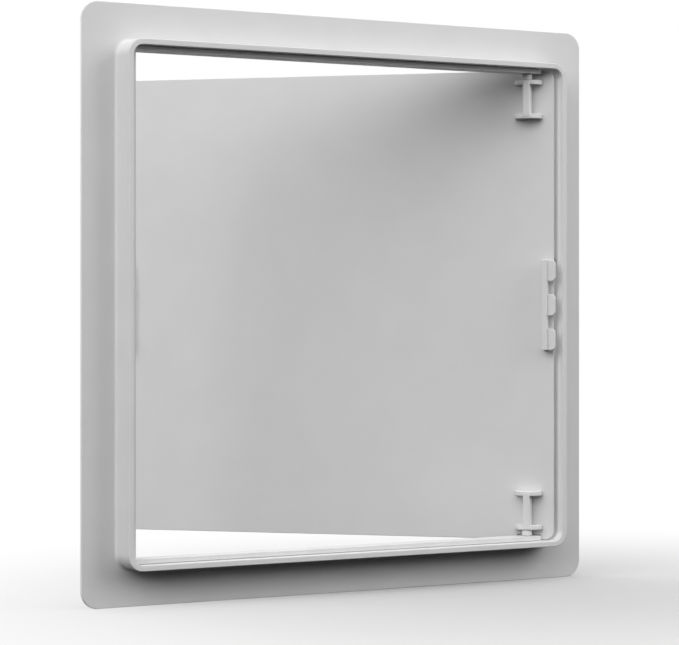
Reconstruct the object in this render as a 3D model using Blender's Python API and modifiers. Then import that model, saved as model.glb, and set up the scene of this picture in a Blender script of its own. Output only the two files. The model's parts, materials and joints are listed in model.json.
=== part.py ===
"""Plastic ceiling access panel for a 14 in square opening, with its door swung half open.

The panel stands upright: +Z is up, the room is at -Y and the space behind the ceiling at +Y.
The origin is the middle of the collar, on the back face of the flange, where the panel meets the
ceiling board. The hinge is on the -X side and the latch on the +X side. Lengths are in metres.
"""
import math

import bmesh
import bpy
from mathutils import Vector

# Frame moulding: a flange against the ceiling and a collar through the opening
COLLAR_WIDTH = 0.3556
COLLAR_HEIGHT = 0.3556
COLLAR_DEPTH = 0.0198
COLLAR_WALL = 0.0040
COLLAR_CORNER_RADIUS = 0.0110
FLANGE_MARGIN = 0.0254
FLANGE_THICKNESS = 0.0023
FLANGE_CORNER_RADIUS = 0.0120
FRAME_EDGE_ROUND = 0.0008
RIM_EDGE_ROUND = 0.0008

# Stop rails inside the collar, which the door closes against
RAIL_DEPTH = 0.0127
RAIL_THICKNESS = 0.0033
LATCH_RAIL_THICKNESS = 0.0042
RAIL_PAST_PIN = 0.0079

# Door
DOOR_THICKNESS = 0.0023
POCKET_CORNER = 0.0012
DOOR_OPEN_ANGLE = 45.0

# Hinge: the pin axis lies this far inside the collar's hinge-side wall
PIVOT_INSET = 0.0226
LUG_RADIUS = 0.0102
LUG_LENGTH = 0.0282
LUG_CHEEK = 0.0032
LUG_WEB = 0.0049
LUG_WEB_HEIGHT = 0.0106
PIN_SHOULDER_RADIUS = 0.0037
PIN_SHOULDER_LENGTH = 0.0039
PIN_RADIUS = 0.0025
SOCKET_FLOOR = 0.0010

# Combs on the back of the door
COMB_BAR_START = 0.0110
COMB_BAR_WIDTH = 0.0039
COMB_BAR_HEIGHT = 0.0080
FINGER_TOP = 0.0058
FINGER_THICKNESS = 0.0022
FINGER_HEIGHT = 0.0158
FINGER_GAP = 0.0096
FINGER_CORNER = 0.0035
FINGER_COUNT = 3
LATCH_FINGER_LENGTH = 0.0061

# Keeper recess in the hinge-side wall, which the fingers swing through
RECESS_DEPTH = 0.0018
RECESS_START = 0.0030
RECESS_LENGTH = 0.0094

# Clearances
SEAT_GAP = 0.0003
DOOR_GAP = 0.0004
DOOR_SWING_CLEARANCE = 0.0018
POCKET_END_CLEARANCE = 0.0010
POCKET_FLOOR_CLEARANCE = 0.0003
FINGER_CLEARANCE = 0.0015
RECESS_CLEARANCE = 0.0007
LATCH_CLEARANCE = 0.0004
PIN_CLEARANCE = 0.0003

# Fineness of the rounds
CORNER_SEGMENTS = 10
SMALL_CORNER_SEGMENTS = 5
FRAME_EDGE_SEGMENTS = 3
EDGE_SEGMENTS = 2
TURNED_SEGMENTS = 32
SOFT_EDGE = 0.0003
EDGE_ANGLE = math.radians(40.0)
RIM_EDGE_ANGLE = math.radians(50.0)
SMOOTH_ANGLE = math.radians(35.0)
NEARLY_PARALLEL = 0.999

# Measures that follow from the values above
OPENING_HALF_WIDTH = COLLAR_WIDTH / 2 - COLLAR_WALL
OPENING_HALF_HEIGHT = COLLAR_HEIGHT / 2 - COLLAR_WALL
OPENING_CORNER_RADIUS = COLLAR_CORNER_RADIUS - COLLAR_WALL
RAIL_INNER_Z = OPENING_HALF_HEIGHT - SEAT_GAP - RAIL_THICKNESS
LATCH_RAIL_INNER_X = OPENING_HALF_WIDTH - SEAT_GAP - LATCH_RAIL_THICKNESS
PIVOT_X = PIVOT_INSET - OPENING_HALF_WIDTH
PIVOT_Y = SEAT_GAP + RAIL_DEPTH / 2

PARTS = "access_panel"
TOOLS = "cutters"
PLASTIC = {
    "white_frame": (0.83, 0.83, 0.82),
    "white_door": (0.85, 0.85, 0.84),
    "white_pin": (0.80, 0.80, 0.79),
}
PLASTIC_ROUGHNESS = 0.45


def clear_scene():
    """Start from an empty scene."""
    for obj in list(bpy.data.objects):
        bpy.data.objects.remove(obj, do_unlink=True)


def new_collection(name):
    """A collection linked under the scene."""
    collection = bpy.data.collections.new(name)
    bpy.context.scene.collection.children.link(collection)
    return collection


def plastic(name, finish):
    """Plain white moulded plastic for one piece."""
    material = bpy.data.materials.new(name + "_plastic")
    material.use_nodes = True
    shader = material.node_tree.nodes["Principled BSDF"]
    shader.inputs["Base Color"].default_value = (*PLASTIC[finish], 1.0)
    shader.inputs["Roughness"].default_value = PLASTIC_ROUGHNESS
    shader.inputs["Metallic"].default_value = 0.0
    return material


def block(low, high):
    """A box between two corners."""
    low, high = Vector(low), Vector(high)
    bm = bmesh.new()
    bmesh.ops.create_cube(bm, size=1.0)
    bmesh.ops.scale(bm, vec=high - low, verts=bm.verts)
    bmesh.ops.translate(bm, vec=(low + high) / 2, verts=bm.verts)
    return bm


def round_corners(bm, axis, radius, segments=CORNER_SEGMENTS, chosen=lambda middle: True):
    """Round the box edges that run along one axis, where their middle is chosen."""
    edges = []
    for edge in bm.edges:
        start, end = (vert.co for vert in edge.verts)
        along = (end - start).normalized()
        if abs(along[axis]) > NEARLY_PARALLEL and chosen((start + end) / 2):
            edges.append(edge)
    bmesh.ops.bevel(bm, geom=edges, offset=radius, offset_type="OFFSET", segments=segments,
                    profile=0.5, affect="EDGES", clamp_overlap=True)
    return bm


def rounded_slab(half_width, half_height, front, back, radius):
    """A rectangle with round corners, square to Y, from its front to its back plane."""
    bm = block((-half_width, front, -half_height), (half_width, back, half_height))
    return round_corners(bm, axis=1, radius=radius)


def cylinder(radius, low_z, high_z, x=0.0, y=0.0):
    """A round bar along Z."""
    bm = bmesh.new()
    bmesh.ops.create_cone(bm, cap_ends=True, segments=TURNED_SEGMENTS, radius1=radius,
                          radius2=radius, depth=high_z - low_z)
    bmesh.ops.translate(bm, vec=(x, y, (low_z + high_z) / 2), verts=bm.verts)
    return bm


def add_object(name, bm, collection, parent=None):
    """Make an object from a bmesh, on its parent's origin if it has one."""
    mesh = bpy.data.meshes.new(name)
    bm.to_mesh(mesh)
    bm.free()
    obj = bpy.data.objects.new(name, mesh)
    collection.objects.link(obj)
    obj.parent = parent
    return obj


def add_piece(name, bm, finish, parent=None):
    """A sub-part of the panel, with its own material."""
    piece = add_object(name, bm, bpy.data.collections[PARTS], parent)
    piece.data.materials.append(plastic(name, finish))
    return piece


def combine(piece, operation, name, bm):
    """Join, cut or trim a piece with a helper shape that moves with it."""
    helper = add_object(name, bm, bpy.data.collections[TOOLS], piece.parent)
    helper.hide_render = True
    helper.display_type = "WIRE"
    modifier = piece.modifiers.new(name, "BOOLEAN")
    modifier.operation = operation
    modifier.solver = "EXACT"
    modifier.object = helper


def soften(piece, width=SOFT_EDGE, segments=EDGE_SEGMENTS, sharper_than=EDGE_ANGLE):
    """Round the sharp edges of a piece, as a mould leaves them."""
    bevel = piece.modifiers.new("edge_round", "BEVEL")
    bevel.width = width
    bevel.segments = segments
    bevel.limit_method = "ANGLE"
    bevel.angle_limit = sharper_than
    bevel.miter_outer = "MITER_ARC"


def smooth_round_faces(piece):
    """Smooth shading on curved faces, with the real edges kept crisp."""
    piece.data.shade_smooth()
    piece.data.set_sharp_from_angle(angle=SMOOTH_ANGLE)


def flange_frame():
    """Flange and collar in one moulding, with the opening and the keeper recess cut out."""
    flange = rounded_slab(COLLAR_WIDTH / 2 + FLANGE_MARGIN, COLLAR_HEIGHT / 2 + FLANGE_MARGIN,
                          -FLANGE_THICKNESS, 0.0, FLANGE_CORNER_RADIUS)
    frame = add_piece("flange_frame", flange, "white_frame")
    collar = rounded_slab(COLLAR_WIDTH / 2, COLLAR_HEIGHT / 2, -FLANGE_THICKNESS / 2,
                          COLLAR_DEPTH, COLLAR_CORNER_RADIUS)
    combine(frame, "UNION", "collar_block", collar)
    soften(frame, min(FRAME_EDGE_ROUND, FLANGE_THICKNESS / 3), FRAME_EDGE_SEGMENTS)

    opening = rounded_slab(OPENING_HALF_WIDTH, OPENING_HALF_HEIGHT, -COLLAR_DEPTH,
                           2 * COLLAR_DEPTH, OPENING_CORNER_RADIUS)
    combine(frame, "DIFFERENCE", "opening_cut", opening)

    half_length = comb_half_length() + RECESS_CLEARANCE
    recess = block((-OPENING_HALF_WIDTH - RECESS_DEPTH, RECESS_START, -half_length),
                   (-OPENING_HALF_WIDTH + RECESS_DEPTH, RECESS_START + RECESS_LENGTH, half_length))
    combine(frame, "DIFFERENCE", "recess_cut", recess)
    soften(frame, min(RIM_EDGE_ROUND, COLLAR_WALL / 4, FLANGE_THICKNESS / 3),
           FRAME_EDGE_SEGMENTS, RIM_EDGE_ANGLE)
    return frame


def rail_envelope():
    """The space inside the collar that a rail may fill."""
    return rounded_slab(OPENING_HALF_WIDTH - SEAT_GAP, OPENING_HALF_HEIGHT - SEAT_GAP,
                        -RAIL_DEPTH, 2 * RAIL_DEPTH, OPENING_CORNER_RADIUS - SEAT_GAP)


def level_rail(name, side):
    """The upper (side 1) or lower (side -1) stop rail, which ends just past the hinge pin.

    Its front corner there is round, so that the door turns past it.
    """
    near, far = sorted((side * RAIL_INNER_Z, side * OPENING_HALF_HEIGHT))
    rail = block((PIVOT_X - RAIL_PAST_PIN, SEAT_GAP, near),
                 (OPENING_HALF_WIDTH, SEAT_GAP + RAIL_DEPTH, far))
    round_corners(rail, axis=2, radius=RAIL_DEPTH / 2,
                  chosen=lambda middle: middle.x < PIVOT_X and middle.y < PIVOT_Y)
    piece = add_piece(name, rail, "white_frame")
    combine(piece, "INTERSECT", name + "_envelope", rail_envelope())
    bore = cylinder(PIN_RADIUS + PIN_CLEARANCE, near - RAIL_THICKNESS, far + RAIL_THICKNESS,
                    PIVOT_X, PIVOT_Y)
    combine(piece, "DIFFERENCE", name + "_bore", bore)
    soften(piece)
    return piece


def latch_rail():
    """The upright stop rail between the two level ones."""
    half_height = RAIL_INNER_Z - SEAT_GAP
    rail = block((LATCH_RAIL_INNER_X, SEAT_GAP, -half_height),
                 (OPENING_HALF_WIDTH, SEAT_GAP + RAIL_DEPTH, half_height))
    piece = add_piece("stop_rail_latch_side", rail, "white_frame")
    combine(piece, "INTERSECT", "latch_rail_envelope", rail_envelope())
    soften(piece)
    return piece


def hinge_edge_reach():
    """How far the door runs past the pin, so that its front corner swings clear of the wall."""
    return math.sqrt((PIVOT_INSET - DOOR_SWING_CLEARANCE) ** 2 - (PIVOT_Y + DOOR_THICKNESS) ** 2)


def pocket_reach():
    """Half the pocket at a pin, so that the door swings clear of the rail's back corner."""
    rail_corner = math.hypot(RAIL_PAST_PIN, RAIL_DEPTH / 2)
    return math.sqrt((rail_corner + POCKET_END_CLEARANCE) ** 2 - PIVOT_Y ** 2)


def pocket_depth():
    """Depth that lets the door turn to a right angle before it meets the rail's end."""
    return RAIL_PAST_PIN - PIVOT_Y + POCKET_FLOOR_CLEARANCE


def door_panel(axis):
    """Flat door with a shallow pocket at each rail's end, in the frame of its hinge axis."""
    half_height = OPENING_HALF_HEIGHT - DOOR_GAP
    latch_edge = OPENING_HALF_WIDTH - DOOR_GAP - PIVOT_X
    front, back = -PIVOT_Y - DOOR_THICKNESS, -PIVOT_Y
    panel = block((-hinge_edge_reach(), front, -half_height), (latch_edge, back, half_height))
    round_corners(panel, axis=1, radius=OPENING_CORNER_RADIUS)
    piece = add_piece("door_panel", panel, "white_door", axis)
    pocket_start = RAIL_INNER_Z - SEAT_GAP
    for label, side in (("top", 1), ("bottom", -1)):
        low, high = sorted((side * pocket_start, side * (half_height + DOOR_THICKNESS)))
        pocket = block((-pocket_reach(), back - pocket_depth(), low),
                       (pocket_reach(), back + DOOR_THICKNESS, high))
        round_corners(pocket, axis=1, radius=POCKET_CORNER, segments=SMALL_CORNER_SEGMENTS)
        combine(piece, "DIFFERENCE", "pocket_" + label, pocket)
    soften(piece)
    return piece


def lug_outer_z():
    """Height of the face of a lug that the pin's shoulder stands on."""
    return RAIL_INNER_Z - PIN_SHOULDER_LENGTH - 2 * SEAT_GAP


def half_disc(low_z, high_z, base_y):
    """One D-shaped cheek, flat against the door, with its curved rim rounded."""
    bm = cylinder(LUG_RADIUS, low_z, high_z, y=base_y)
    rim = [edge for edge in bm.edges if abs(edge.verts[0].co.z - edge.verts[1].co.z) < SOFT_EDGE]
    bmesh.ops.bevel(bm, geom=rim, offset=min(SOFT_EDGE, LUG_CHEEK / 4), offset_type="OFFSET",
                    segments=EDGE_SEGMENTS, profile=0.5, affect="EDGES", clamp_overlap=True)
    geometry = bm.verts[:] + bm.edges[:] + bm.faces[:]
    cut = bmesh.ops.bisect_plane(bm, geom=geometry, plane_co=(0.0, base_y, 0.0),
                                 plane_no=(0.0, -1.0, 0.0), clear_outer=True)
    outline = [item for item in cut["geom_cut"] if isinstance(item, bmesh.types.BMEdge)]
    bmesh.ops.edgenet_fill(bm, edges=outline)
    bmesh.ops.recalc_face_normals(bm, faces=bm.faces)
    return bm


def hinge_lug(name, side, axis):
    """Two cheeks joined by a web, with a socket for the pin in the outer cheek."""
    base = SEAT_GAP - PIVOT_Y
    outer = lug_outer_z()
    inner = outer - LUG_LENGTH
    low, high = sorted((side * (outer - LUG_CHEEK), side * outer))
    piece = add_piece(name, half_disc(low, high, base), "white_door", axis)
    low, high = sorted((side * inner, side * (inner + LUG_CHEEK)))
    combine(piece, "UNION", name + "_inner_cheek", half_disc(low, high, base))
    low, high = sorted((side * (inner + LUG_CHEEK / 2), side * (outer - LUG_CHEEK / 6)))
    web = block((-LUG_WEB / 2, base, low), (LUG_WEB / 2, base + LUG_WEB_HEIGHT, high))
    round_corners(web, axis=2, radius=SOFT_EDGE, segments=EDGE_SEGMENTS,
                  chosen=lambda middle: middle.y > base + LUG_WEB_HEIGHT / 2)
    combine(piece, "UNION", name + "_web", web)
    low, high = sorted((side * (outer - LUG_CHEEK + SOCKET_FLOOR), side * (outer + LUG_CHEEK)))
    combine(piece, "DIFFERENCE", name + "_socket", cylinder(PIN_RADIUS + PIN_CLEARANCE, low, high))
    return piece


def hinge_pin(name, side, axis):
    """Shouldered pin, turned about the hinge axis: shank in the lug, journal in the rail."""
    shoulder_low = lug_outer_z() + SEAT_GAP
    shoulder_high = shoulder_low + PIN_SHOULDER_LENGTH
    tip = OPENING_HALF_HEIGHT - 2 * SEAT_GAP
    foot = lug_outer_z() - LUG_CHEEK + SOCKET_FLOOR + SEAT_GAP
    lead = PIN_RADIUS / 5
    profile = [(0.0, tip), (PIN_RADIUS - lead, tip), (PIN_RADIUS, tip - lead),
               (PIN_RADIUS, shoulder_high), (PIN_SHOULDER_RADIUS, shoulder_high),
               (PIN_SHOULDER_RADIUS, shoulder_low), (PIN_RADIUS, shoulder_low),
               (PIN_RADIUS, foot), (0.0, foot)]
    bm = bmesh.new()
    verts = [bm.verts.new((radius, 0.0, z)) for radius, z in profile]
    for upper, lower in zip(verts, verts[1:]):
        bm.edges.new((upper, lower))
    piece = add_piece(name, bm, "white_pin", axis)
    screw = piece.modifiers.new("turned", "SCREW")
    screw.axis = "Z"
    screw.angle = math.tau
    screw.steps = TURNED_SEGMENTS
    screw.render_steps = TURNED_SEGMENTS
    screw.use_merge_vertices = True
    screw.merge_threshold = 0.00001
    if side < 0:
        piece.rotation_euler.x = math.pi
    return piece


def comb_half_length():
    """Half the height of a comb, from its fingers and the gaps between them."""
    return (FINGER_COUNT * FINGER_HEIGHT + (FINGER_COUNT - 1) * FINGER_GAP) / 2


def comb(name, axis, bar_near, bar_far, finger_tip):
    """A bar on the back of the door with rounded fingers that reach out from it.

    The three distances are measured from the hinge axis along the door, negative on the
    hinge side.
    """
    base = SEAT_GAP - PIVOT_Y
    door_back = -PIVOT_Y
    half_length = comb_half_length()
    left, right = sorted((bar_near, bar_far))
    bar = block((left, base, -half_length), (right, door_back + COMB_BAR_HEIGHT, half_length))
    piece = add_piece(name, bar, "white_door", axis)
    root = (bar_near + bar_far) / 2
    left, right = sorted((root, finger_tip))
    tip_side = left if finger_tip < root else right
    for number in range(FINGER_COUNT):
        low = number * (FINGER_HEIGHT + FINGER_GAP) - half_length
        finger = block((left, door_back + FINGER_TOP - FINGER_THICKNESS, low),
                       (right, door_back + FINGER_TOP, low + FINGER_HEIGHT))
        round_corners(finger, axis=1, radius=FINGER_CORNER, segments=SMALL_CORNER_SEGMENTS,
                      chosen=lambda middle: abs(middle.x - tip_side) < SEAT_GAP)
        combine(piece, "UNION", f"{name}_finger_{number + 1}", finger)
    soften(piece)
    return piece


def hinge_side_comb(axis):
    """The comb next to the hinge, whose fingers swing just clear of the wall."""
    lowest = PIVOT_Y - FINGER_TOP + FINGER_THICKNESS
    tip = math.sqrt((PIVOT_INSET - FINGER_CLEARANCE) ** 2 - lowest ** 2)
    return comb("hinge_side_comb", axis, -COMB_BAR_START, -COMB_BAR_START - COMB_BAR_WIDTH, -tip)


def latch_comb(axis):
    """The comb on the free edge, whose fingers close against the latch-side rail."""
    tip = LATCH_RAIL_INNER_X - LATCH_CLEARANCE - PIVOT_X
    bar_far = tip - LATCH_FINGER_LENGTH
    return comb("latch_comb", axis, bar_far - COMB_BAR_WIDTH, bar_far, tip)


def hinge_axis():
    """An empty on the pin axis that carries the door, turned to where the photograph has it."""
    axis = bpy.data.objects.new("door_hinge_axis", None)
    bpy.data.collections[PARTS].objects.link(axis)
    axis.location = (PIVOT_X, PIVOT_Y, 0.0)
    axis.rotation_euler.z = -math.radians(DOOR_OPEN_ANGLE)
    return axis


def build():
    """Make the whole panel."""
    clear_scene()
    new_collection(PARTS)
    new_collection(TOOLS)
    pieces = [flange_frame(), level_rail("stop_rail_top", 1), level_rail("stop_rail_bottom", -1),
              latch_rail()]
    axis = hinge_axis()
    pieces.append(door_panel(axis))
    for label, side in (("top", 1), ("bottom", -1)):
        pieces.append(hinge_lug("hinge_lug_" + label, side, axis))
        pieces.append(hinge_pin("hinge_pin_" + label, side, axis))
    pieces.append(hinge_side_comb(axis))
    pieces.append(latch_comb(axis))
    for piece in pieces:
        smooth_round_faces(piece)


build()
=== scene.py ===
"""White plastic ceiling access panel, seen from behind with its door swung half open.

The panel stands on its edge on a white floor, under a soft sky and four soft lights. Each piece is a
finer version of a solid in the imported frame, with rounder edges and the same sizes, and rides on the
same body. Lengths are in metres: +Z is up, the room is at -Y and the hinge is on the -X side. Door
pieces are made round the hinge axis, with the door closed, and then turned to half open.
"""

import json
import math

import bmesh
import bpy
from mathutils import Matrix, Vector

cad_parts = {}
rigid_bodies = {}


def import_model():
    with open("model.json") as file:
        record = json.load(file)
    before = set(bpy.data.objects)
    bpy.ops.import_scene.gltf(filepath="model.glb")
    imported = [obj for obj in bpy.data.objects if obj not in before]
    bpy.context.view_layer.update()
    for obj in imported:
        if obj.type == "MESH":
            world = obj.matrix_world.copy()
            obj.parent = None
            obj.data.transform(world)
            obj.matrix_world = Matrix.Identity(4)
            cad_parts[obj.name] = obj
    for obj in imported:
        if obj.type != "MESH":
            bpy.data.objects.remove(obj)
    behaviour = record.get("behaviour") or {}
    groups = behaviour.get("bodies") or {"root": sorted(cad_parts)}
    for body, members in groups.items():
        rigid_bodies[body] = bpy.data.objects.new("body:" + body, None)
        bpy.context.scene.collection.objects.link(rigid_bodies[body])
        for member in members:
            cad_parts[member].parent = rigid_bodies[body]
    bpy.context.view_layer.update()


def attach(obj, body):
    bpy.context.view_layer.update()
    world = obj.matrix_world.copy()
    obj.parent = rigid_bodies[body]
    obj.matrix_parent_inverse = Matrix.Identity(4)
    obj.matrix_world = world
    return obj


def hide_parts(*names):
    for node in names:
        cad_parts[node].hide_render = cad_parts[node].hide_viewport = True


for leftover in list(bpy.data.objects):
    bpy.data.objects.remove(leftover, do_unlink=True)
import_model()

# Frame moulding: a flange against the ceiling and a collar through the opening
COLLAR_WIDTH = 0.3556
COLLAR_HEIGHT = 0.3556
COLLAR_DEPTH = 0.0198
COLLAR_WALL = 0.0040
COLLAR_CORNER_RADIUS = 0.0110
FLANGE_MARGIN = 0.0254
FLANGE_THICKNESS = 0.0023
FLANGE_CORNER_RADIUS = 0.0120
FLANGE_EDGE_ROUND = 0.0004
RIM_EDGE_ROUND = 0.0005
JUNCTION_FILLET = 0.0018

# Stop rails inside the collar
RAIL_DEPTH = 0.0127
RAIL_THICKNESS = 0.0033
LATCH_RAIL_THICKNESS = 0.0042
RAIL_PAST_PIN = 0.0079

# Door
DOOR_THICKNESS = 0.0023
POCKET_CORNER = 0.0012
DOOR_OPEN_ANGLE = math.radians(45.0)

# Hinge
PIVOT_INSET = 0.0226
LUG_RADIUS = 0.0102
LUG_LENGTH = 0.0282
LUG_CHEEK = 0.0032
LUG_WEB = 0.0049
LUG_WEB_HEIGHT = 0.0106
PIN_SHOULDER_RADIUS = 0.0037
PIN_SHOULDER_LENGTH = 0.0039
PIN_RADIUS = 0.0025
PIN_TIP_ROUND = PIN_RADIUS / 5
SOCKET_FLOOR = 0.0010

# Combs on the back of the door
COMB_BAR_START = 0.0110
COMB_BAR_WIDTH = 0.0039
COMB_BAR_HEIGHT = 0.0080
FINGER_TOP = 0.0058
FINGER_THICKNESS = 0.0022
FINGER_HEIGHT = 0.0158
FINGER_GAP = 0.0096
FINGER_CORNER = 0.0035
FINGER_COUNT = 3
LATCH_FINGER_LENGTH = 0.0061

# Keeper recess in the hinge-side wall
RECESS_DEPTH = 0.0018
RECESS_START = 0.0030
RECESS_LENGTH = 0.0094
RECESS_CORNER = 0.0010

# Clearances
SEAT_GAP = 0.0003
DOOR_GAP = 0.0004
DOOR_SWING_CLEARANCE = 0.0018
POCKET_END_CLEARANCE = 0.0010
POCKET_FLOOR_CLEARANCE = 0.0003
FINGER_CLEARANCE = 0.0015
RECESS_CLEARANCE = 0.0007
LATCH_CLEARANCE = 0.0004
PIN_CLEARANCE = 0.0003

# Rounds: the steps in a corner, an edge and a full turn, the width of an edge's round, the least angle
# of an edge that gets one, and the shape of its section, which is circular at 0.5
CORNER_STEPS = 24
EDGE_STEPS = 4
TURNED_STEPS = 96
EDGE_ROUND = 0.00045
EDGE_ANGLE = math.radians(40.0)
ROUND_PROFILE = 0.5

# Edges that bend by more than this are shaded as creases
SMOOTH_ANGLE = math.radians(35.0)

# Tolerances: the least cosine between parallel lines, the most by which places that are the same may
# differ, and the distance under which the points of a turned shape merge
NEARLY_PARALLEL = 0.999
SAME_PLACE = 0.0003
MERGE_DISTANCE = EDGE_ROUND / 20

# Measures that follow from the values above
OPENING_HALF_WIDTH = COLLAR_WIDTH / 2 - COLLAR_WALL
OPENING_HALF_HEIGHT = COLLAR_HEIGHT / 2 - COLLAR_WALL
OPENING_CORNER_RADIUS = COLLAR_CORNER_RADIUS - COLLAR_WALL
RAIL_INNER_Z = OPENING_HALF_HEIGHT - SEAT_GAP - RAIL_THICKNESS
LATCH_RAIL_INNER_X = OPENING_HALF_WIDTH - SEAT_GAP - LATCH_RAIL_THICKNESS
PIVOT_X = PIVOT_INSET - OPENING_HALF_WIDTH
PIVOT_Y = SEAT_GAP + RAIL_DEPTH / 2
FLOOR_Z = -COLLAR_HEIGHT / 2 - FLANGE_MARGIN
DOOR_PLACE = (Matrix.Translation((PIVOT_X, PIVOT_Y, 0.0))
              @ Matrix.Rotation(-DOOR_OPEN_ANGLE, 4, "Z"))

# Colours of the plastics: the frame, door and pins are one white plastic, and the door's lighter grey
# is painted light that brightens it beside the frame
FRAME_COLOUR = (0.625, 0.625, 0.625)
DOOR_COLOUR = (0.66, 0.66, 0.66)
PIN_COLOUR = (0.64, 0.64, 0.64)
PLASTIC_SPECULAR = 0.08

# Texture of the plastics: noises as (spots in a metre, detail), the part of a noise's range that is
# used, what it does to the colour and the roughness, and bumps as (strength, height)
MOTTLE_NOISE = (35.0, 3.0)
FLOW_NOISE = (9.0, 2.0)
GRAIN_NOISE = (1800.0, 2.0)
NOISE_RANGE = (0.3, 0.7)
TINT_RANGE = (0.985, 1.015)
ROUGHNESS_RANGE = (0.40, 0.52)
MOTTLE_BUMP = (0.15, 0.0004)
GRAIN_BUMP = (0.25, 0.00004)

# Camera, fitted to the photograph: its place, the direction in which it looks, the lens in
# millimetres on a 36 mm sensor, and the shift up as a share of the picture's width
CAMERA_PLACE = (0.8556, 1.4702, 0.0)
CAMERA_AIM = (-0.5009, -0.8655, 0.0)
CAMERA_LENS = 127.35
CAMERA_SHIFT = -0.0259

# Light: a soft sky, as (sine of the elevation, brightness), and large soft lights that point at the
# panel. Their angles are in degrees, round from +X and up from the floor, and a strength is how bright
# the light makes a white face that is square to it.
LIGHT_DISTANCE = 2.2
SOFT_LIGHTS = (
    {"name": "left", "azimuth": 20.0, "elevation": 28.0, "size": 1.5, "strength": 0.57},
    {"name": "right", "azimuth": 135.0, "elevation": 25.0, "size": 1.5, "strength": 0.48},
    {"name": "front", "azimuth": 60.0, "elevation": 50.0, "size": 1.5, "strength": 0.14},
    {"name": "room side", "azimuth": -60.0, "elevation": 15.0, "size": 1.0, "strength": 0.30},
)
SKY_STRENGTH = 1.12
SKY_STEPS = ((0.0, 0.0), (0.26, 0.04), (0.38, 1.0))

# Floor: its grey as seen near the panel, its grey for the light that it throws on the panel, its side,
# and the point round which it fades to white, between two distances. The grey kept round that point,
# in front of the hinge side, is painted shade under the panel's real shadow, and the white farther out
# glows.
FLOOR_SEEN = 0.45
FLOOR_BOUNCE = 0.02
FLOOR_SIZE = 8.0
FLOOR_SHADE_POOL_CENTRE = (-0.10, 0.12, 0.0)
FLOOR_FADE_RANGE = (0.0, 0.58)


def new_object(name, bm):
    """Make an object from a bmesh."""
    mesh = bpy.data.meshes.new(name)
    bm.to_mesh(mesh)
    bm.free()
    obj = bpy.data.objects.new(name, mesh)
    bpy.context.scene.collection.objects.link(obj)
    return obj


def block(low, high):
    """A box between two corners."""
    low, high = Vector(low), Vector(high)
    bm = bmesh.new()
    bmesh.ops.create_cube(bm, size=1.0)
    bmesh.ops.scale(bm, vec=high - low, verts=bm.verts)
    bmesh.ops.translate(bm, vec=(low + high) / 2, verts=bm.verts)
    return bm


def round_edges(bm, edges, radius, steps):
    """Round the edges given."""
    bmesh.ops.bevel(bm, geom=edges, offset=radius, offset_type="OFFSET", segments=steps,
                    profile=ROUND_PROFILE, affect="EDGES", clamp_overlap=True)
    return bm


def round_corners(bm, axis, radius, steps=CORNER_STEPS, chosen=lambda middle: True):
    """Round the box edges that run along one axis, where their middle is chosen."""
    edges = []
    for edge in bm.edges:
        start, end = (vert.co for vert in edge.verts)
        along = (end - start).normalized()
        if abs(along[axis]) > NEARLY_PARALLEL and chosen((start + end) / 2):
            edges.append(edge)
    return round_edges(bm, edges, radius, steps)


def cylinder(radius, low_z, high_z, x=0.0, y=0.0):
    """A round bar along Z."""
    bm = bmesh.new()
    bmesh.ops.create_cone(bm, cap_ends=True, segments=TURNED_STEPS, radius1=radius,
                          radius2=radius, depth=high_z - low_z)
    bmesh.ops.translate(bm, vec=(x, y, (low_z + high_z) / 2), verts=bm.verts)
    return bm


def arc(centre, radius, start, end, steps=EDGE_STEPS):
    """Points along an arc, between two angles in degrees."""
    points = []
    for step in range(steps + 1):
        angle = math.radians(start + (end - start) * step / steps)
        points.append((centre[0] + radius * math.cos(angle), centre[1] + radius * math.sin(angle)))
    return points


def rectangle_ring(half_width, half_height, radius, y):
    """Points round a rectangle with round corners, square to Y."""
    corners = ((1, 1, 0), (-1, 1, 90), (-1, -1, 180), (1, -1, 270))
    points = []
    for side_x, side_z, start in corners:
        centre = (side_x * (half_width - radius), side_z * (half_height - radius))
        points += [(x, y, z) for x, z in arc(centre, radius, start, start + 90, CORNER_STEPS)]
    return points


def loft_ring(profile, half_width, half_height, corner_radius):
    """Carry a closed profile of (outward, y) points round a rectangle with round corners."""
    bm = bmesh.new()
    loops = []
    for outward, y in profile:
        ring = rectangle_ring(half_width + outward, half_height + outward,
                              corner_radius(outward), y)
        loops.append([bm.verts.new(point) for point in ring])
    for loop, following in zip(loops, loops[1:] + loops[:1]):
        for index in range(len(loop)):
            ahead = (index + 1) % len(loop)
            bm.faces.new((loop[index], loop[ahead], following[ahead], following[index]))
    bmesh.ops.recalc_face_normals(bm, faces=bm.faces)
    return bm


def bake(name, base, tools=(), edge_round=0.0, place=Matrix.Identity(4)):
    """Apply a shape's cuts, joins and edge rounds, put it in place and shade it."""
    piece = new_object(name, base)
    helpers = []
    for operation, bm in tools:
        helper = new_object(name + "_helper", bm)
        helpers.append(helper)
        boolean = piece.modifiers.new("boolean", "BOOLEAN")
        boolean.operation = operation
        boolean.solver = "EXACT"
        boolean.object = helper
    if edge_round:
        bevel = piece.modifiers.new("edge_round", "BEVEL")
        bevel.width = edge_round
        bevel.segments = EDGE_STEPS
        bevel.limit_method = "ANGLE"
        bevel.angle_limit = EDGE_ANGLE
        bevel.miter_outer = "MITER_ARC"
    graph = bpy.context.evaluated_depsgraph_get()
    mesh = bpy.data.meshes.new_from_object(piece.evaluated_get(graph),
                                           preserve_all_data_layers=True, depsgraph=graph)
    piece.modifiers.clear()
    piece.data = mesh
    mesh.transform(place)
    mesh.shade_smooth()
    mesh.set_sharp_from_angle(angle=SMOOTH_ANGLE)
    piece.modifiers.new("face_weight", "WEIGHTED_NORMAL").keep_sharp = True
    for helper in helpers:
        bpy.data.objects.remove(helper, do_unlink=True)
    return piece


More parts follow.
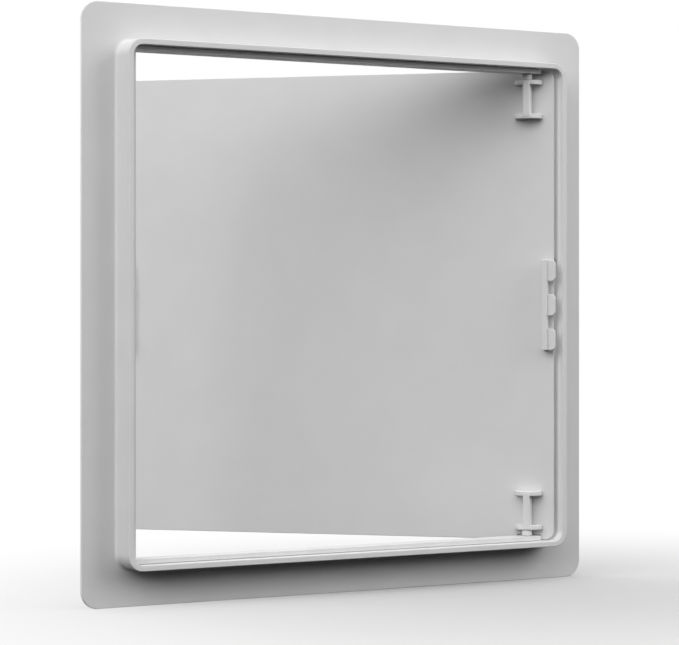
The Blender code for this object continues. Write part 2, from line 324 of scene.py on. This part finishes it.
def finish_piece(piece, node, body, material):
    """Give a piece its plastic and body, in place of its solid."""
    piece.data.materials.clear()
    piece.data.materials.append(material)
    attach(piece, body)
    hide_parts(node)


def flange_profile():
    """Section of the flange and collar, as (outward from the collar, y) points."""
    edge = FLANGE_EDGE_ROUND
    rim = RIM_EDGE_ROUND
    front = -FLANGE_THICKNESS
    profile = arc((FLANGE_MARGIN - edge, front + edge), edge, -90, 0)
    profile += arc((FLANGE_MARGIN - edge, -edge), edge, 0, 90)
    profile += arc((JUNCTION_FILLET, JUNCTION_FILLET), JUNCTION_FILLET, -90, -180)
    profile += arc((-rim, COLLAR_DEPTH - rim), rim, 0, 90)
    profile += arc((rim - COLLAR_WALL, COLLAR_DEPTH - rim), rim, 90, 180)
    profile += arc((edge - COLLAR_WALL, front + edge), edge, 180, 270)
    return profile


def frame_corner_radius(outward):
    """Corner radius of the frame at a distance outward from the collar's outer face."""
    if outward < 0:
        return COLLAR_CORNER_RADIUS + outward
    growth = (FLANGE_CORNER_RADIUS - COLLAR_CORNER_RADIUS) / FLANGE_MARGIN
    return COLLAR_CORNER_RADIUS + growth * outward


def comb_half_length():
    """Half the height of a comb."""
    return (FINGER_COUNT * FINGER_HEIGHT + (FINGER_COUNT - 1) * FINGER_GAP) / 2


def flange_frame():
    """Flange and collar, with the keeper recess."""
    body = loft_ring(flange_profile(), COLLAR_WIDTH / 2, COLLAR_HEIGHT / 2, frame_corner_radius)
    half_length = comb_half_length() + RECESS_CLEARANCE
    recess = block((-OPENING_HALF_WIDTH - RECESS_DEPTH, RECESS_START, -half_length),
                   (-OPENING_HALF_WIDTH + RECESS_DEPTH, RECESS_START + RECESS_LENGTH, half_length))
    round_corners(recess, axis=0, radius=RECESS_CORNER, steps=EDGE_STEPS)
    return bake("frame_moulding", body, [("DIFFERENCE", recess)])


def rail_envelope():
    """The space inside the collar that a rail may fill."""
    half_width = OPENING_HALF_WIDTH - SEAT_GAP
    half_height = OPENING_HALF_HEIGHT - SEAT_GAP
    bm = block((-half_width, -RAIL_DEPTH, -half_height), (half_width, 2 * RAIL_DEPTH, half_height))
    return round_corners(bm, axis=1, radius=OPENING_CORNER_RADIUS - SEAT_GAP)


def mirrored(side, start, end):
    """Where a stretch of Z lies above the middle (side 1) or mirrored below it (side -1)."""
    return sorted((side * start, side * end))


def level_rail(name, side):
    """The upper (side 1) or lower (side -1) stop rail, with the bore for its pin."""
    low, high = mirrored(side, RAIL_INNER_Z, OPENING_HALF_HEIGHT)
    rail = block((PIVOT_X - RAIL_PAST_PIN, SEAT_GAP, low),
                 (OPENING_HALF_WIDTH, SEAT_GAP + RAIL_DEPTH, high))
    round_corners(rail, axis=2, radius=RAIL_DEPTH / 2,
                  chosen=lambda middle: middle.x < PIVOT_X and middle.y < PIVOT_Y)
    bore = cylinder(PIN_RADIUS + PIN_CLEARANCE, low - RAIL_THICKNESS, high + RAIL_THICKNESS,
                    PIVOT_X, PIVOT_Y)
    return bake(name, rail, [("INTERSECT", rail_envelope()), ("DIFFERENCE", bore)], EDGE_ROUND)


def latch_rail():
    """The upright stop rail between the two level ones."""
    half_height = RAIL_INNER_Z - SEAT_GAP
    rail = block((LATCH_RAIL_INNER_X, SEAT_GAP, -half_height),
                 (OPENING_HALF_WIDTH - SEAT_GAP, SEAT_GAP + RAIL_DEPTH, half_height))
    return bake("latch_side_stop_ledge", rail, edge_round=EDGE_ROUND)


def hinge_edge_reach():
    """How far the door runs past the pin."""
    return math.sqrt((PIVOT_INSET - DOOR_SWING_CLEARANCE) ** 2 - (PIVOT_Y + DOOR_THICKNESS) ** 2)


def pocket_reach():
    """How far the pocket in the door runs to each side of a pin."""
    rail_corner = math.hypot(RAIL_PAST_PIN, RAIL_DEPTH / 2)
    return math.sqrt((rail_corner + POCKET_END_CLEARANCE) ** 2 - PIVOT_Y ** 2)


def door_panel():
    """Flat door with a shallow pocket at each rail's end."""
    half_height = OPENING_HALF_HEIGHT - DOOR_GAP
    latch_edge = OPENING_HALF_WIDTH - DOOR_GAP - PIVOT_X
    front, back = -PIVOT_Y - DOOR_THICKNESS, -PIVOT_Y
    panel = block((-hinge_edge_reach(), front, -half_height), (latch_edge, back, half_height))
    round_corners(panel, axis=1, radius=OPENING_CORNER_RADIUS)
    pocket_floor = back - (RAIL_PAST_PIN - PIVOT_Y + POCKET_FLOOR_CLEARANCE)
    cuts = []
    for side in (1, -1):
        low, high = mirrored(side, RAIL_INNER_Z - SEAT_GAP, half_height + DOOR_THICKNESS)
        pocket = block((-pocket_reach(), pocket_floor, low),
                       (pocket_reach(), back + DOOR_THICKNESS, high))
        cuts.append(("DIFFERENCE", round_corners(pocket, 1, POCKET_CORNER, EDGE_STEPS)))
    return bake("door_moulding", panel, cuts, EDGE_ROUND, place=DOOR_PLACE)


def lug_outer_z():
    """Height of the face of a lug that the pin's shoulder stands on."""
    return RAIL_INNER_Z - PIN_SHOULDER_LENGTH - 2 * SEAT_GAP


def half_disc(low_z, high_z, base_y):
    """One D-shaped cheek, flat against the door, with its curved rim rounded."""
    bm = cylinder(LUG_RADIUS, low_z, high_z, y=base_y)
    rim = [edge for edge in bm.edges
           if abs(edge.verts[0].co.z - edge.verts[1].co.z) < SAME_PLACE]
    round_edges(bm, rim, EDGE_ROUND, EDGE_STEPS)
    cut = bmesh.ops.bisect_plane(bm, geom=bm.verts[:] + bm.edges[:] + bm.faces[:],
                                 plane_co=(0.0, base_y, 0.0), plane_no=(0.0, -1.0, 0.0),
                                 clear_outer=True)
    outline = [item for item in cut["geom_cut"] if isinstance(item, bmesh.types.BMEdge)]
    bmesh.ops.edgenet_fill(bm, edges=outline)
    bmesh.ops.recalc_face_normals(bm, faces=bm.faces)
    return bm


def hinge_lug(name, side):
    """Two cheeks joined by a web, with a socket for the pin in the outer cheek."""
    base = SEAT_GAP - PIVOT_Y
    outer = lug_outer_z()
    inner = outer - LUG_LENGTH
    low, high = mirrored(side, outer - LUG_CHEEK, outer)
    outer_cheek = half_disc(low, high, base)
    low, high = mirrored(side, inner, inner + LUG_CHEEK)
    inner_cheek = half_disc(low, high, base)
    # The web ends inside both cheeks, and the socket is cut after they are joined
    low, high = mirrored(side, inner + LUG_CHEEK / 2, outer - LUG_CHEEK / 6)
    web = block((-LUG_WEB / 2, base, low), (LUG_WEB / 2, base + LUG_WEB_HEIGHT, high))
    round_corners(web, axis=2, radius=EDGE_ROUND, steps=EDGE_STEPS,
                  chosen=lambda middle: middle.y > base + LUG_WEB_HEIGHT / 2)
    low, high = mirrored(side, outer - LUG_CHEEK + SOCKET_FLOOR, outer + LUG_CHEEK)
    socket = cylinder(PIN_RADIUS + PIN_CLEARANCE, low, high)
    joins = [("UNION", inner_cheek), ("UNION", web), ("DIFFERENCE", socket)]
    return bake(name, outer_cheek, joins, place=DOOR_PLACE)


def hinge_pin(name, side):
    """Shouldered pin, turned about the hinge axis."""
    low = lug_outer_z() + SEAT_GAP
    high = low + PIN_SHOULDER_LENGTH
    tip = OPENING_HALF_HEIGHT - 2 * SEAT_GAP
    foot = lug_outer_z() - LUG_CHEEK + SOCKET_FLOOR + SEAT_GAP
    lead = PIN_TIP_ROUND
    edge = EDGE_ROUND
    profile = [(0.0, tip)] + arc((PIN_RADIUS - lead, tip - lead), lead, 90, 0)
    profile += [(PIN_RADIUS, high)]
    profile += arc((PIN_SHOULDER_RADIUS - edge, high - edge), edge, 90, 0)
    profile += arc((PIN_SHOULDER_RADIUS - edge, low + edge), edge, 0, -90)
    profile += [(PIN_RADIUS, low), (PIN_RADIUS, foot), (0.0, foot)]
    bm = bmesh.new()
    verts = [bm.verts.new((radius, 0.0, side * z)) for radius, z in profile]
    edges = [bm.edges.new(pair) for pair in zip(verts, verts[1:])]
    bmesh.ops.spin(bm, geom=verts + edges, cent=(0.0, 0.0, 0.0), axis=(0.0, 0.0, 1.0),
                   angle=math.tau, steps=TURNED_STEPS, use_merge=True)
    bmesh.ops.remove_doubles(bm, verts=bm.verts, dist=MERGE_DISTANCE)
    bmesh.ops.recalc_face_normals(bm, faces=bm.faces)
    return bake(name, bm, place=DOOR_PLACE)


def comb(name, bar_near, bar_far, finger_tip):
    """A bar on the back of the door with rounded fingers, at distances from the hinge axis."""
    base = SEAT_GAP - PIVOT_Y
    half_length = comb_half_length()
    left, right = sorted((bar_near, bar_far))
    bar = block((left, base, -half_length), (right, COMB_BAR_HEIGHT - PIVOT_Y, half_length))
    root = (bar_near + bar_far) / 2
    left, right = sorted((root, finger_tip))
    tip_side = left if finger_tip < root else right
    joins = []
    for number in range(FINGER_COUNT):
        low = number * (FINGER_HEIGHT + FINGER_GAP) - half_length
        finger = block((left, FINGER_TOP - FINGER_THICKNESS - PIVOT_Y, low),
                       (right, FINGER_TOP - PIVOT_Y, low + FINGER_HEIGHT))
        round_corners(finger, axis=1, radius=FINGER_CORNER,
                      chosen=lambda middle: abs(middle.x - tip_side) < SAME_PLACE)
        joins.append(("UNION", finger))
    return bake(name, bar, joins, EDGE_ROUND, place=DOOR_PLACE)


def hinge_side_comb():
    """The comb next to the hinge."""
    lowest = PIVOT_Y - FINGER_TOP + FINGER_THICKNESS
    tip = math.sqrt((PIVOT_INSET - FINGER_CLEARANCE) ** 2 - lowest ** 2)
    return comb("hinge_side_catch", -COMB_BAR_START, -COMB_BAR_START - COMB_BAR_WIDTH, -tip)


def latch_comb():
    """The comb on the free edge."""
    tip = LATCH_RAIL_INNER_X - LATCH_CLEARANCE - PIVOT_X
    bar_far = tip - LATCH_FINGER_LENGTH
    return comb("latch_side_catch", bar_far - COMB_BAR_WIDTH, bar_far, tip)


def grey(level):
    """An opaque grey."""
    return (level, level, level, 1.0)


def map_range(nodes, source, target):
    """A node that carries one range of values to another."""
    node = nodes.new("ShaderNodeMapRange")
    node.inputs["From Min"].default_value, node.inputs["From Max"].default_value = source
    node.inputs["To Min"].default_value, node.inputs["To Max"].default_value = target
    return node


def moulded_plastic(name, colour):
    """White moulded plastic: a faint mottle, an uneven satin gloss and a fine mould grain."""
    material = bpy.data.materials.new(name)
    material.use_nodes = True
    nodes, links = material.node_tree.nodes, material.node_tree.links
    shader = nodes["Principled BSDF"]
    shader.inputs["Specular IOR Level"].default_value = PLASTIC_SPECULAR
    place = nodes.new("ShaderNodeTexCoord")

    def noise(scale, detail):
        texture = nodes.new("ShaderNodeTexNoise")
        texture.inputs["Scale"].default_value = scale
        texture.inputs["Detail"].default_value = detail
        links.new(place.outputs["Object"], texture.inputs["Vector"])
        return texture.outputs["Fac"]

    def bump(height, strength, distance):
        node = nodes.new("ShaderNodeBump")
        node.inputs["Strength"].default_value = strength
        node.inputs["Distance"].default_value = distance
        links.new(height, node.inputs["Height"])
        return node

    mottle = noise(*MOTTLE_NOISE)
    flow = noise(*FLOW_NOISE)
    grain = noise(*GRAIN_NOISE)

    tint = nodes.new("ShaderNodeValToRGB")
    for stop, position, level in zip(tint.color_ramp.elements, NOISE_RANGE, TINT_RANGE):
        stop.position = position
        stop.color = (*(min(1.0, level * part) for part in colour), 1.0)
    links.new(mottle, tint.inputs["Fac"])
    links.new(tint.outputs["Color"], shader.inputs["Base Color"])

    gloss = map_range(nodes, NOISE_RANGE, ROUGHNESS_RANGE)
    links.new(flow, gloss.inputs["Value"])
    links.new(gloss.outputs["Result"], shader.inputs["Roughness"])

    sinks = bump(mottle, *MOTTLE_BUMP)
    grains = bump(grain, *GRAIN_BUMP)
    links.new(sinks.outputs["Normal"], grains.inputs["Normal"])
    links.new(grains.outputs["Normal"], shader.inputs["Normal"])
    return material


def build_panel():
    """Make every piece of the panel on its body."""
    frame_plastic = moulded_plastic("frame_plastic_look", FRAME_COLOUR)
    # The door's plastic is lighter than the frame's: painted light on the same white plastic
    door_plastic = moulded_plastic("door_plastic_look", DOOR_COLOUR)
    pin_plastic = moulded_plastic("pin_plastic_look", PIN_COLOUR)
    on_frame = ((flange_frame(), "flange_frame"),
                (level_rail("upper_stop_ledge", 1), "stop_rail_top"),
                (level_rail("lower_stop_ledge", -1), "stop_rail_bottom"),
                (latch_rail(), "stop_rail_latch_side"))
    for piece, node in on_frame:
        finish_piece(piece, node, "frame", frame_plastic)
    on_door = ((door_panel(), "door_panel"),
               (hinge_lug("upper_hinge_bracket", 1), "hinge_lug_top"),
               (hinge_lug("lower_hinge_bracket", -1), "hinge_lug_bottom"),
               (hinge_side_comb(), "hinge_side_comb"),
               (latch_comb(), "latch_comb"))
    for piece, node in on_door:
        finish_piece(piece, node, "door", door_plastic)
    pins = ((hinge_pin("upper_pivot", 1), "hinge_pin_top"),
            (hinge_pin("lower_pivot", -1), "hinge_pin_bottom"))
    for piece, node in pins:
        finish_piece(piece, node, "door", pin_plastic)


def seen_directly(nodes, links):
    """1 for camera, glossy and transmission rays, and 0 for the rays that light the object."""
    path = nodes.new("ShaderNodeLightPath")
    value = path.outputs["Is Camera Ray"]
    for kind in ("Is Glossy Ray", "Is Transmission Ray"):
        either = nodes.new("ShaderNodeMath")
        either.operation = "MAXIMUM"
        links.new(value, either.inputs[0])
        links.new(path.outputs[kind], either.inputs[1])
        value = either.outputs["Value"]
    return value


def white_floor():
    """Floor that glows white away from the panel and keeps the panel's shadow near it, where its
    darker grey round a point in front of the hinge side is painted shade.
    """
    bm = bmesh.new()
    bmesh.ops.create_grid(bm, x_segments=1, y_segments=1, size=FLOOR_SIZE / 2)
    floor = new_object("floor", bm)
    floor.location.z = FLOOR_Z
    material = bpy.data.materials.new("white_floor")
    material.use_nodes = True
    nodes, links = material.node_tree.nodes, material.node_tree.links
    nodes.clear()
    output = nodes.new("ShaderNodeOutputMaterial")
    near = nodes.new("ShaderNodeBsdfDiffuse")
    near.inputs["Color"].default_value = grey(FLOOR_SEEN)
    far = nodes.new("ShaderNodeEmission")
    far.inputs["Color"].default_value = grey(1.0)
    bounce = nodes.new("ShaderNodeBsdfDiffuse")
    bounce.inputs["Color"].default_value = grey(FLOOR_BOUNCE)
    place = nodes.new("ShaderNodeTexCoord")
    distance = nodes.new("ShaderNodeVectorMath")
    distance.operation = "DISTANCE"
    distance.inputs[1].default_value = FLOOR_SHADE_POOL_CENTRE
    links.new(place.outputs["Object"], distance.inputs[0])
    # Painted shade: the grey floor gives way to glowing white with distance from a point in front of
    # the hinge side
    fade = map_range(nodes, FLOOR_FADE_RANGE, (0.0, 1.0))
    fade.interpolation_type = "SMOOTHSTEP"
    links.new(distance.outputs["Value"], fade.inputs["Value"])
    seen = nodes.new("ShaderNodeMixShader")
    links.new(fade.outputs["Result"], seen.inputs["Fac"])
    links.new(near.outputs["BSDF"], seen.inputs[1])
    links.new(far.outputs["Emission"], seen.inputs[2])
    mix = nodes.new("ShaderNodeMixShader")
    links.new(seen_directly(nodes, links), mix.inputs["Fac"])
    links.new(bounce.outputs["BSDF"], mix.inputs[1])
    links.new(seen.outputs["Shader"], mix.inputs[2])
    links.new(mix.outputs["Shader"], output.inputs["Surface"])
    floor.data.materials.append(material)


def studio_world():
    """White background to look at, and a sky that lights the object from high up."""
    world = bpy.data.worlds.new("studio")
    bpy.context.scene.world = world
    world.use_nodes = True
    nodes, links = world.node_tree.nodes, world.node_tree.links
    nodes.clear()
    output = nodes.new("ShaderNodeOutputWorld")
    sky = nodes.new("ShaderNodeBackground")
    sky.inputs["Strength"].default_value = SKY_STRENGTH
    place = nodes.new("ShaderNodeTexCoord")
    split = nodes.new("ShaderNodeSeparateXYZ")
    links.new(place.outputs["Generated"], split.inputs["Vector"])
    height = nodes.new("ShaderNodeValToRGB")
    stops = height.color_ramp.elements
    for position, _ in SKY_STEPS[1:-1]:
        stops.new(position)
    for stop, (position, brightness) in zip(stops, SKY_STEPS):
        stop.position = position
        stop.color = grey(brightness)
    links.new(split.outputs["Z"], height.inputs["Fac"])
    links.new(height.outputs["Color"], sky.inputs["Color"])
    white = nodes.new("ShaderNodeBackground")
    white.inputs["Color"].default_value = grey(1.0)
    mix = nodes.new("ShaderNodeMixShader")
    links.new(seen_directly(nodes, links), mix.inputs["Fac"])
    links.new(sky.outputs["Background"], mix.inputs[1])
    links.new(white.outputs["Background"], mix.inputs[2])
    links.new(mix.outputs["Shader"], output.inputs["Surface"])


def soft_light(name, azimuth, elevation, size, strength):
    """A square soft light that points at the middle of the panel."""
    data = bpy.data.lights.new(name, "AREA")
    data.shape = "SQUARE"
    data.size = size
    data.energy = strength * (math.pi * LIGHT_DISTANCE) ** 2
    light = bpy.data.objects.new(name, data)
    bpy.context.scene.collection.objects.link(light)
    azimuth, elevation = math.radians(azimuth), math.radians(elevation)
    direction = Vector((math.cos(elevation) * math.cos(azimuth),
                        math.cos(elevation) * math.sin(azimuth), math.sin(elevation)))
    light.location = LIGHT_DISTANCE * direction
    light.rotation_mode = "QUATERNION"
    light.rotation_quaternion = (-direction).to_track_quat("-Z", "Y")


def add_camera():
    """Camera at the photograph's place."""
    data = bpy.data.cameras.new("camera")
    data.lens = CAMERA_LENS
    data.shift_y = CAMERA_SHIFT
    camera = bpy.data.objects.new("camera", data)
    bpy.context.scene.collection.objects.link(camera)
    camera.location = CAMERA_PLACE
    camera.rotation_mode = "QUATERNION"
    camera.rotation_quaternion = Vector(CAMERA_AIM).to_track_quat("-Z", "Y")
    bpy.context.scene.camera = camera


build_panel()
white_floor()
studio_world()
for soft in SOFT_LIGHTS:
    soft_light(**soft)
add_camera()
bpy.context.scene.view_settings.view_transform = "Standard"
